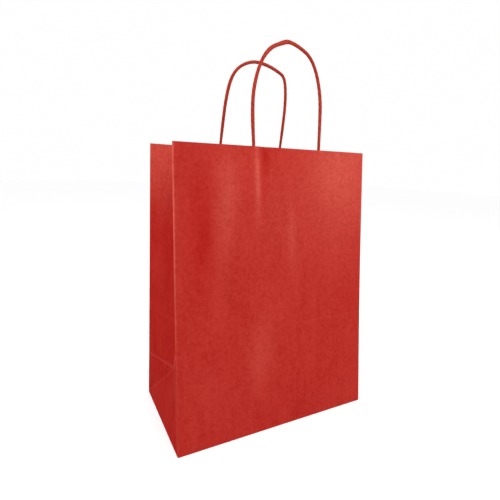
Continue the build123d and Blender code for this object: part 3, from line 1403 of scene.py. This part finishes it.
@dataclass
class CordHandle:
    """One length of twisted paper cord: glued end, neck, standing loop, neck and glued end.

    The route's points lie in the loop's own plane: across from the handle's middle, and up from
    the mouth edge. Its first and last points are where the two legs bend.
    """

    wall: WallPanel
    route: Sequence[tuple[float, float]]
    broad: Sequence[tuple[float, float, float]]
    diameter: float = 3.5 * MM
    hold: float = 40 * MM
    drop: float = 2 * MM
    glue_marks: tuple[float, ...] = (34 * MM, 25 * MM, 16 * MM, 8 * MM, 1 * MM)
    pitch: float = 15 * MM
    flat_pitch: float = 74 * MM
    groove_depth: float = 0.085
    grooves: tuple[tuple[float, float, float], ...] = ((0.0, 0.30, 1.0), (2.2, 0.20, 0.55),
                                                       (4.1, 0.26, 0.75))
    ring_gap: float = 0.6 * MM
    around: int = 30
    seed: float = 0.0

    @property
    def pivot(self) -> Vector:
        """The loop's hinge at the mouth."""
        return Vector(joint_place(f"{self.wall.where.side.word}_handle_swing"))

    def rise_direction(self) -> Vector:
        """Direction from the hinge up through the loop, in its plane.

        Returns:
            The direction, of length 1.
        """
        vertices = frame["nodes"][f"{self.wall.where.side.word}_handle_loop"].data.vertices
        top = max(v.co.z for v in vertices)
        crown = [v.co for v in vertices if v.co.z > top - self.diameter]
        centre = sum(crown, Vector()) / len(crown) - self.pivot
        return Vector((0, centre.y, centre.z)).normalized()

    def control_points(self) -> list[Vector]:
        """The cord's route in the bag's frame.

        Returns:
            The points, from one glued end to the other.
        """
        pivot, rise = self.pivot, self.rise_direction()
        where = self.wall.where
        base = self.route[0][1]
        loop = [pivot + Vector((x, 0, 0)) + rise * (up - base) for x, up in self.route]
        depths = [base + self.drop + self.hold, *(base + mark for mark in self.glue_marks)]
        left, right = ([self.glued(end, depth) for depth in depths] for end in (loop[0], loop[-1]))
        for end in (0, -1):
            loop[end] += where.out * self.wall.relief(loop[end].x, where.length)
        return left + loop + right[::-1]

    def glued(self, end: Vector, depth: float) -> Vector:
        """A point of a glued end, which lies against the wall and follows its waves.

        Args:
            end: Where the leg bends at the mouth.
            depth: Distance down the wall from there.

        Returns:
            The point.
        """
        where = self.wall.where
        height = min((end - where.pivot).dot(where.up) - depth, where.length)
        return end - where.up * depth + where.out * self.wall.relief(end.x, height)

    def centreline(self) -> Points:
        """Even points along the route's smooth line.

        Returns:
            The points, one for each ring of the cord.
        """
        curve = bpy.data.curves.new("cord_route", "CURVE")
        curve.dimensions = "3D"
        spline = curve.splines.new("NURBS")
        controls = self.control_points()
        spline.points.add(len(controls) - 1)
        for point, place in zip(spline.points, controls):
            point.co = (*place, 1.0)
        spline.order_u = 3
        spline.use_endpoint_u = True
        spline.resolution_u = 24
        guide = bpy.data.objects.new("cord_route", curve)
        line_mesh = bpy.data.meshes.new_from_object(guide)
        line = np.array([v.co for v in line_mesh.vertices], float)
        bpy.data.objects.remove(guide)
        bpy.data.curves.remove(curve)
        bpy.data.meshes.remove(line_mesh)
        gaps = np.linalg.norm(np.diff(line, axis=0), axis=1)
        line = line[np.concatenate([[True], gaps > 1e-7])]
        run = distances(line)
        wanted = np.linspace(0, run[-1], max(2, round(run[-1] / self.ring_gap)) + 1)
        return np.array([np.interp(wanted, run, line[:, axis]) for axis in range(3)]).T

    def build(self, finishes: Finishes) -> bpy.types.Object:
        """Make the cord and let its necks bend between the wall and the loop.

        Args:
            finishes: The bag's materials.

        Returns:
            The piece.
        """
        side = self.wall.where.side
        line = self.centreline()
        points, depth, coords = self.skin(line)
        name = f"{side.word}_handle_cord"
        mesh = bpy.data.meshes.new(name)
        mesh.from_pydata([tuple(p) for p in points], [], self.faces(len(line)))
        # The groove depth is stored as the wear value and paints shade into the cord's grooves.
        store_grain(mesh, np.array(coords), np.array(depth))
        mesh.materials.append(finishes.cord)
        mesh.shade_smooth()
        piece = link(name, mesh)
        dress(piece, "twisted_paper_cord", f"{side.word}_handle_loop", f"{side.word}_cord_ends",
              f"{side.word}_cord_necks")
        log.info("%s: cord length %.0f mm", name, distances(line)[-1] / MM)
        up = self.wall.where.up
        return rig.blend(piece, side.panel, side.handle, start=self.pivot - up * 3.2 * MM,
                        end=self.pivot + up * 11 * MM)

    def skin(self, line: Points) -> tuple[list, list[float], list[tuple[float, float, float]]]:
        """Points of the cord's surface: its rings, then the middle of each end.

        Args:
            line: The cord's centre line, one point for each ring.

        Returns:
            The points, how deep each lies in a groove, and its grain coordinates.
        """
        ahead = np.gradient(line, axis=0)
        ahead /= np.linalg.norm(ahead, axis=1)[:, None]
        plane = np.cross((1.0, 0.0, 0.0), np.array(self.rise_direction()))
        run = distances(line)
        points, depth, coords = [], [], []
        for spot, way, reach in zip(line, ahead, run):
            flat = plane - way * (plane @ way)
            flat /= np.linalg.norm(flat)
            wide = np.cross(way, flat)
            oval_turn, wider, thinner = self.section(reach, run[-1])
            for angle in np.arange(self.around) * math.tau / self.around:
                dent = self.groove(angle - math.tau * reach / self.pitch, reach)
                size = self.diameter / 2 * self.girth(reach) * (1 - self.groove_depth * dent)
                turn = angle - oval_turn
                spread = (wide * math.cos(turn) * (1 + wider)
                          + flat * math.sin(turn) * (1 - thinner))
                points.append(spot + spread * size)
                depth.append(dent)
                coords.append((angle * self.diameter / 2 + reach * 0.85, reach, self.seed))
        for end in (0, -1):
            points.append(line[end])
            depth.append(1.0)
            coords.append((0.0, run[end], self.seed))
        return points, depth, coords

    def faces(self, rings: int) -> list[tuple[int, ...]]:
        """Join the rings into a closed tube.

        Args:
            rings: How many rings there are.

        Returns:
            The faces, as numbers of points.
        """
        steps = [(a, (a + 1) % self.around) for a in range(self.around)]
        starts = [ring * self.around for ring in range(rings)]
        sides = [(near + a, far + a, far + b, near + b)
                 for near, far in zip(starts, starts[1:]) for a, b in steps]
        hub = rings * self.around
        first = [(hub, a, b) for a, b in steps]
        last = [(hub + 1, starts[-1] + b, starts[-1] + a) for a, b in steps]
        return sides + first + last

    def section(self, reach: float, length: float) -> tuple[float, float, float]:
        """The cord's pressed shape: turn, extra width and lost thickness.

        The strip was flattened before it was twisted, so its oval turns slowly along the loop.
        The glued ends stay round.

        Args:
            reach: Distance along the cord.
            length: The whole cord's length.

        Returns:
            The oval's turn in radians, and its two shares of the radius.
        """
        buried = self.hold + self.drop + 8 * MM
        free = smooth(min(reach, length - reach), buried, buried + 18 * MM)
        turn = math.tau * reach / self.flat_pitch + self.seed
        extra = 0.17 + 0.07 * math.sin(reach * 63 + 2 * self.seed)
        for place, width, amount in self.broad:
            extra += amount * hump(reach, place, width)
        return turn, extra * free, 0.55 * extra * free

    def girth(self, reach: float) -> float:
        """Slow changes of the cord's thickness."""
        return 0.97 + 0.07 * noise.noise(Vector((reach * 34, self.seed, 0.4)))

    def groove(self, spin: float, reach: float) -> float:
        """Depth of the spiral lines that the twisted strip leaves.

        Args:
            spin: Angle round the cord, turning with the twist.
            reach: Distance along the cord.

        Returns:
            The depth, from 0 on a ridge to 1 in the deepest line.
        """
        wander = 0.5 * noise.noise(Vector((reach * 55, self.seed, 9.0)))
        deepest = 0.0
        for offset, width, share in self.grooves:
            gap = (spin + offset + wander + math.pi) % math.tau - math.pi
            deepest = max(deepest, share * math.exp(-((gap / width) ** 2)))
        return deepest


# ---------------------------------------------------------------------------------------------
# Studio
# ---------------------------------------------------------------------------------------------


@dataclass
class SoftBox:
    """A square area light aimed at the bag."""

    name: str
    place: tuple[float, float, float]
    size: float
    power: float
    aim: tuple[float, float, float] = (0.0, 0.0, 0.17)

    def build(self) -> bpy.types.Object:
        """Hang the light.

        Returns:
            The light's object.
        """
        light = bpy.data.lights.new(self.name, "AREA")
        light.shape = "SQUARE"
        light.size = self.size
        light.energy = self.power
        lamp = bpy.data.objects.new(self.name, light)
        lamp.location = self.place
        ahead = Vector(self.aim) - Vector(self.place)
        lamp.rotation_euler = ahead.to_track_quat("-Z", "Y").to_euler()
        bpy.context.scene.collection.objects.link(lamp)
        return lamp


@dataclass
class Studio:
    """Pale floor, soft light and the camera."""

    camera_place: tuple[float, float, float] = (-0.2235, -0.3680, 0.2857)
    azimuth: float = -25.996
    elevation: float = 8.913
    roll: float = 1.991
    lens: float = 26.350
    shift: tuple[float, float] = (0.0436, -0.0486)
    sensor: float = 36.0
    backdrop: Colour = (0.996, 0.996, 0.996)
    floor_colour: Colour = (0.985, 0.985, 0.985)
    floor_half: float = 6.0
    floor_gap: float = 0.3 * MM
    lights: Sequence[SoftBox] = (
        SoftBox("key_softbox", (1.15, -1.00, 0.60), 0.6, 7.0),
        SoftBox("left_softbox", (-0.46, -0.04, 0.66), 0.25, 2.9, aim=(-0.12, 0.0, 0.36)),
        SoftBox("top_softbox", (0.20, -0.42, 0.74), 0.35, 2.6, aim=(0.06, 0.0, 0.33)),
    )

    def build(self) -> None:
        """Set up the camera, the floor, the world and the lights."""
        self.camera()
        self.floor()
        world = bpy.data.worlds.new("studio_world")
        world.use_nodes = True
        light = world.node_tree.nodes["Background"]
        light.inputs["Color"].default_value = (*self.backdrop, 1.0)
        light.inputs["Strength"].default_value = 1.0
        scene = bpy.context.scene
        scene.world = world
        scene.view_settings.view_transform = "Standard"
        scene.view_settings.look = "None"
        for light_box in self.lights:
            light_box.build()

    def floor(self) -> bpy.types.Object:
        """Lay the floor, just under the bag.

        Returns:
            The floor's object.
        """
        mesh = bpy.data.meshes.new("studio_floor")
        half = self.floor_half
        mesh.from_pydata([(-half, -half, 0), (half, -half, 0), (half, half, 0), (-half, half, 0)],
                         [], [(0, 1, 2, 3)])
        mesh.materials.append(StudioSurface("pale_floor", self.floor_colour).material())
        floor = link("studio_floor", mesh)
        floor.location.z = -self.floor_gap
        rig.stage(floor)
        return floor

    def camera(self) -> bpy.types.Object:
        """Place the camera.

        Returns:
            The camera's object.
        """
        azimuth, elevation, roll = map(math.radians, (self.azimuth, self.elevation, self.roll))
        ahead = Vector((-math.sin(azimuth) * math.cos(elevation),
                        math.cos(azimuth) * math.cos(elevation), -math.sin(elevation)))
        right = ahead.cross(Vector((0, 0, 1))).normalized()
        above = right.cross(ahead)
        tilted_right = right * math.cos(roll) + above * math.sin(roll)
        tilted_above = above * math.cos(roll) - right * math.sin(roll)
        lens = bpy.data.cameras.new("studio_camera")
        lens.lens = self.lens
        lens.sensor_width = self.sensor
        lens.shift_x, lens.shift_y = self.shift
        lens.clip_start = 0.01
        lens.clip_end = 50.0
        camera = bpy.data.objects.new("studio_camera", lens)
        turn = Matrix((tilted_right, tilted_above, -ahead)).transposed().to_4x4()
        camera.matrix_world = Matrix.Translation(Vector(self.camera_place)) @ turn
        bpy.context.scene.collection.objects.link(camera)
        bpy.context.scene.camera = camera
        return camera


# ---------------------------------------------------------------------------------------------
# The bag
# ---------------------------------------------------------------------------------------------

FRONT_ROUTE = [(x * MM, up * MM) for x, up in (
    (-41.5, 3.4), (-41.9, 31.2), (-40.6, 58.1), (-32.2, 86.7), (-19.6, 104.7), (-3.5, 112.3),
    (4.7, 115.3), (18.2, 111.7), (33.5, 103.6), (42.8, 85.4), (47.4, 58.5), (46.2, 31.2),
    (43.5, 3.4))]
BACK_ROUTE = [(x * MM, up * MM) for x, up in (
    (-42.2, 3.4), (-40.9, 30.9), (-38.8, 58.3), (-33.7, 83.1), (-23.1, 97.4), (-4.6, 105.4),
    (14.8, 103.4), (30.9, 98.2), (42.7, 92.2), (46.9, 64.4), (46.2, 33.1), (45, 3.4))]


def legs_of(side: Side, route: Sequence[tuple[float, float]]) -> tuple[float, float]:
    """Across places of a handle's two legs.

    Args:
        side: The handle's wall.
        route: The handle's route.

    Returns:
        The left and the right leg's place from the wall's middle.
    """
    middle = joint_place(f"{side.word}_handle_swing")[0]
    return middle + route[0][0], middle + route[-1][0]


def main() -> None:
    """Build the studio, then the bag's sub-assemblies in order."""
    logging.basicConfig(level=logging.INFO, format="%(name)s: %(message)s")
    Studio().build()
    finishes = Finishes.build()
    front = WallPanel(
        WallFrame(Side.FRONT),
        swells=(
            # Each swell's rub amount paints light into the paper: painted highlights along the crests and at the upper
            # right, painted shade at the left middle and beside the thin ridge near the left leg.
            Swell(-92 * MM, 15 * MM, -1.5 * MM, 90 * MM, 60 * MM, rubbed=-0.10),
            Swell(-64 * MM, 12 * MM, 1.6 * MM, 50 * MM, 60 * MM, rubbed=0.15, lean=-0.06),
            Swell(-18 * MM, 5 * MM, -1.5 * MM, 14 * MM, 26 * MM, rubbed=-0.10, mouth_share=1.0),
            Swell(-28 * MM, 2.8 * MM, 0.9 * MM, 30 * MM, 38 * MM, rubbed=0.34, lean=0.05,
                  mouth_share=0.85),
            Swell(-6 * MM, 14 * MM, 0.7 * MM, 70 * MM, 50 * MM, rubbed=0.05),
            Swell(16 * MM, 6 * MM, 1.2 * MM, 94 * MM, 34 * MM, rubbed=0.14, lean=0.06),
            Swell(52 * MM, 11 * MM, -0.9 * MM, 90 * MM, 60 * MM),
            Swell(86 * MM, 50 * MM, 0.9 * MM, 12 * MM, 75 * MM, rubbed=0.25, mouth_share=0.9),
            Swell(-24 * MM, 17 * MM, 1.3 * MM, 225 * MM, 34 * MM, rubbed=0.11, lean=-0.1),
        ),
        folded_low=False,
        cord_legs=legs_of(Side.FRONT, FRONT_ROUTE),
    )
    back = WallPanel(
        WallFrame(Side.BACK),
        swells=(
            Swell(-74 * MM, 18 * MM, 1.2 * MM, 80 * MM, 80 * MM, rubbed=0.06),
            Swell(-34 * MM, 5 * MM, 0.8 * MM, 34 * MM, 36 * MM, rubbed=0.10),
            Swell(-4 * MM, 14 * MM, -1.1 * MM, 60 * MM, 70 * MM),
            Swell(34 * MM, 12 * MM, 1.0 * MM, 90 * MM, 50 * MM, rubbed=0.05, lean=-0.04),
            Swell(82 * MM, 20 * MM, -1.0 * MM, 110 * MM, 80 * MM),
        ),
        folded_low=True,
        sag=0.8 * MM,
        cord_legs=legs_of(Side.BACK, BACK_ROUTE),
    )
    for wall in (front, back):
        wall.build(finishes)
        for flank in Flank:
            GussetHalf(wall, flank).build(finishes)
        BottomFlap(wall.where).build(finishes)
        HandlePatches(wall, cord_radius=CordHandle.diameter / 2).build(finishes)
    for flank in Flank:
        SideTuck(flank).build(finishes)
    SeamFlap(back).build(finishes)
    CordHandle(front, FRONT_ROUTE, broad=((0.150, 0.012, 0.20), (0.172, 0.008, 0.26),
                                          (0.262, 0.02, 0.10)), seed=1.3).build(finishes)
    CordHandle(back, BACK_ROUTE, broad=((0.115, 0.014, 0.16), (0.235, 0.02, 0.08)),
               seed=4.6).build(finishes)
    boxes = {name: [list(corner) for corner in box]
             for name, box in (("cad", CAD_BOX), ("visual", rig.bounds()))}
    with open(SIZE_FILE, "w") as size_file:
        json.dump(boxes, size_file)


if __name__ == "__main__":
    main()
